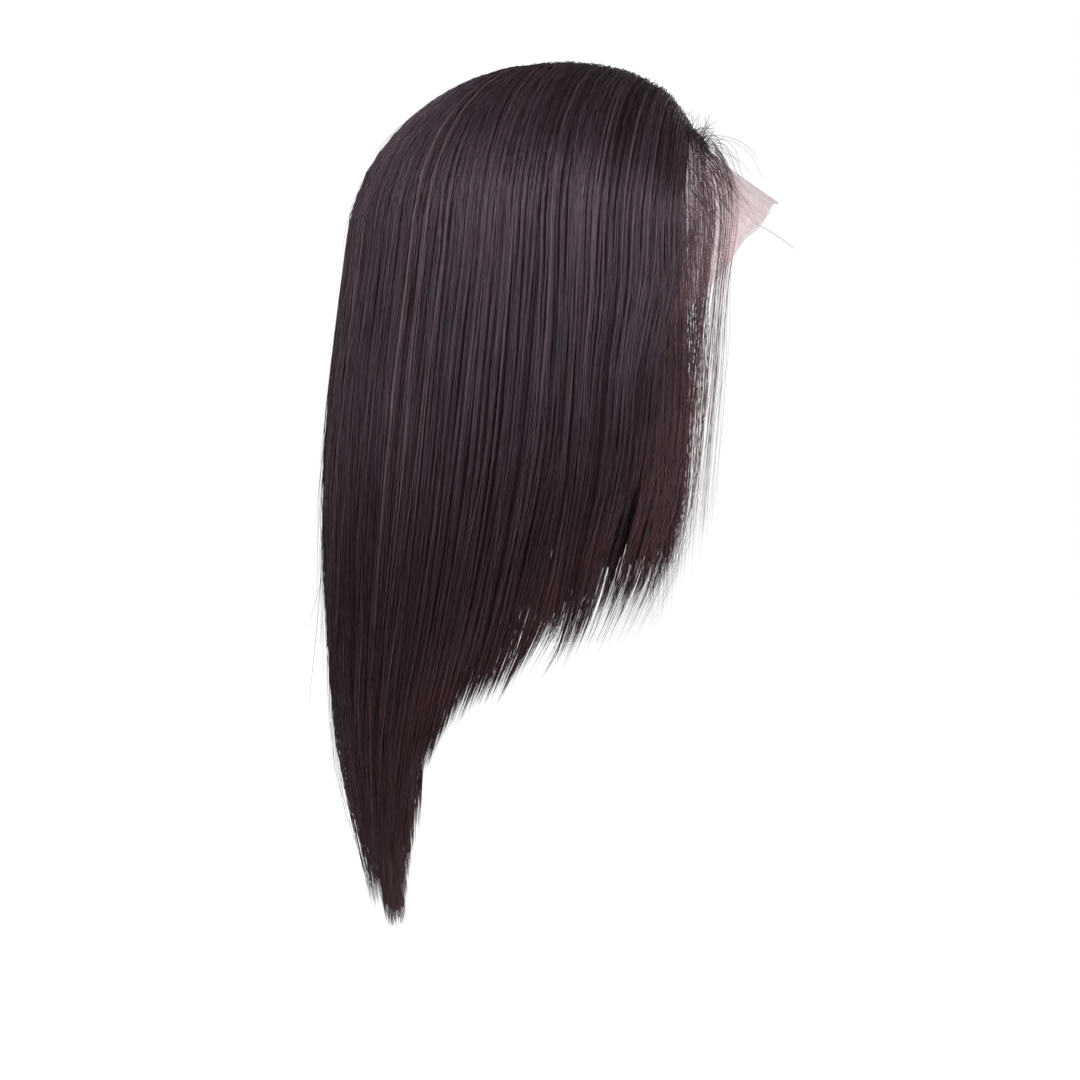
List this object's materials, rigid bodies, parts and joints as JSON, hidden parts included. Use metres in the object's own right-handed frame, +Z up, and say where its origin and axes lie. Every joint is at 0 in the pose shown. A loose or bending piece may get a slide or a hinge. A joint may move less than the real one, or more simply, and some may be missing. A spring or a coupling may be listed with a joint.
{
  "type": "lace front wig",
  "caption": "Long straight dark wig in its worn form: a sheer untrimmed lace front and a hollow stretch cap under panels of hanging hair in pointed locks.",
  "frame": {"origin": "top of the head that wears the wig, inside the top of the cap, on the head's upright axis", "axes": "+Z up, -Y towards the face, -X towards the wearer's right side"},
  "size_m": [0.1918, 0.238, 0.448],
  "materials": {
    "hair": "straight dark brown hair with a soft sheen",
    "lace": "sheer skin-coloured net",
    "cap_net": "dark stretch net with rows of sewn hair",
    "band": "matt woven elastic"
  },
  "bodies": {
    "root": {"lace_front": "lace", "stretch_cap": "cap_net", "nape_band": "band", "front_hair_right": "hair", "front_hair_left": "hair", "side_hair_right": "hair", "side_hair_left": "hair", "back_hair": "hair", "nape_hair": "hair"}
  },
  "joints": []
}
